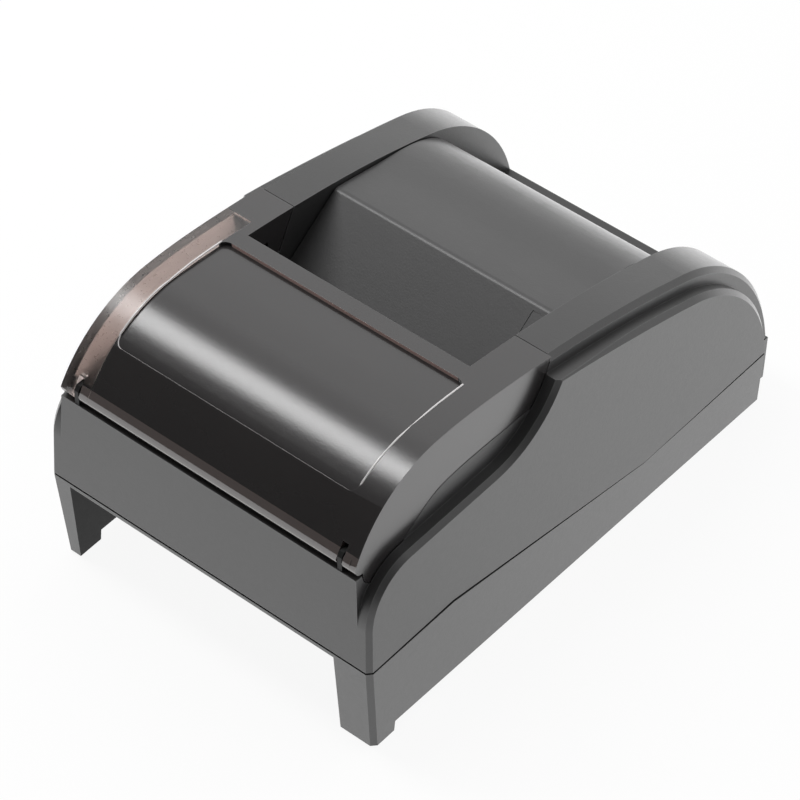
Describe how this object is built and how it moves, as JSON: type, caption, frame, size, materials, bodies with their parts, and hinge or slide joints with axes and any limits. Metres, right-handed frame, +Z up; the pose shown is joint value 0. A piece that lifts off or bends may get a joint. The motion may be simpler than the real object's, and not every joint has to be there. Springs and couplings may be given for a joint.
{
  "type": "thermal receipt printer",
  "caption": "Desktop thermal receipt printer for narrow paper rolls, with a hinged smoked front cover and a paper-bin lid between curved side rails, print mechanism inside.",
  "frame": {"origin": "on the table, under the middle of the printer's overall length and width", "axes": "+X to the printer's right seen from its front, +Y from the front with the cover's lip to the rear with the sockets, +Z up"},
  "size_m": [0.13, 0.1914, 0.0945],
  "materials": {
    "housing": "fine-grained black ABS",
    "smoked_cover": "smoked translucent moulding, polished",
    "lid": "fine-grained black ABS",
    "steel": "plated sheet",
    "aluminium": "matt extrusion",
    "ceramic": "glazed ceramic strip",
    "spring_steel": "spring wire",
    "flex": "flat cable, off white",
    "rubber": "ground black rubber",
    "gear_plastic": "natural acetal",
    "bin_plastic": "black moulding",
    "board": "green laminate",
    "chips": "moulded packages",
    "socket": "black moulding",
    "usb_metal": "tinned shell",
    "button": "dark grey moulding",
    "lens": "tinted lens"
  },
  "bodies": {
    "base": {"lower_housing": "housing", "upper_housing": "housing", "lid_hinge_pins": "steel", "paper_bin": "bin_plastic", "mechanism_frame": "steel", "head_pivot_pin": "steel", "head_springs": "spring_steel", "head_cable": "flex", "idler_stud": "steel", "stepper_motor": "steel", "tear_bar": "steel", "paper_sensor": "socket", "lid_sensor": "socket", "main_board": "board", "board_chips": "chips", "board_screws": "steel", "usb_socket": "usb_metal", "power_jack": "socket", "drawer_socket": "socket", "power_switch": "socket", "feed_switch": "socket", "button_board": "board", "indicator_lights": "lens", "housing_screws": "steel", "mechanism_screws": "steel", "foot_pads": "rubber"},
    "cover": {"front_cover": "smoked_cover"},
    "lid": {"bin_lid": "lid", "platen_bushes": "gear_plastic"},
    "platen": {"platen_roller": "rubber", "platen_shaft": "steel", "platen_gear": "gear_plastic"},
    "idler": {"idler_gear": "gear_plastic"},
    "pinion": {"motor_pinion": "gear_plastic"},
    "head": {"print_head": "ceramic", "head_sink": "aluminium"},
    "rocker": {"power_rocker": "button"},
    "button": {"feed_button": "button"}
  },
  "joints": [
    {"name": "cover_hinge", "type": "hinge", "parent": "base", "child": "cover", "pos_m": [0, -0.08875, 0.073], "axis": [1, 0, 0], "range_deg": [0, 100]},
    {"name": "lid_hinge", "type": "hinge", "parent": "base", "child": "lid", "pos_m": [0, 0.06725, 0.039], "axis": [-1, 0, 0], "range_deg": [0, 75]},
    {"name": "platen_spin", "type": "hinge", "parent": "lid", "child": "platen", "pos_m": [0, -0.01795, 0.0602], "axis": [1, 0, 0], "continuous": true},
    {"name": "idler_spin", "type": "hinge", "parent": "base", "child": "idler", "pos_m": [0, -0.02856, 0.04948], "axis": [1, 0, 0], "continuous": true},
    {"name": "pinion_spin", "type": "hinge", "parent": "base", "child": "pinion", "pos_m": [0, -0.03705, 0.0409], "axis": [1, 0, 0], "continuous": true},
    {"name": "head_swing", "type": "hinge", "parent": "base", "child": "head", "pos_m": [0, -0.02615, 0.0465], "axis": [1, 0, 0], "range_deg": [0, 2], "stiffness_Nm_per_rad": 0.5, "deforming": ["head_springs"]},
    {"name": "rocker_tilt", "type": "hinge", "parent": "base", "child": "rocker", "pos_m": [0.034, 0.09125, 0.017], "axis": [0, 0, 1], "range_deg": [0, 16]},
    {"name": "button_press", "type": "slide", "parent": "base", "child": "button", "axis": [1, 0, 0], "range_m": [0, 0.0012], "stiffness_N_per_m": 300}
  ],
  "couplings": [
    {"joint": "idler_spin", "follows": "platen_spin", "ratio": -0.66667},
    {"joint": "pinion_spin", "follows": "platen_spin", "ratio": 2}
  ]
}
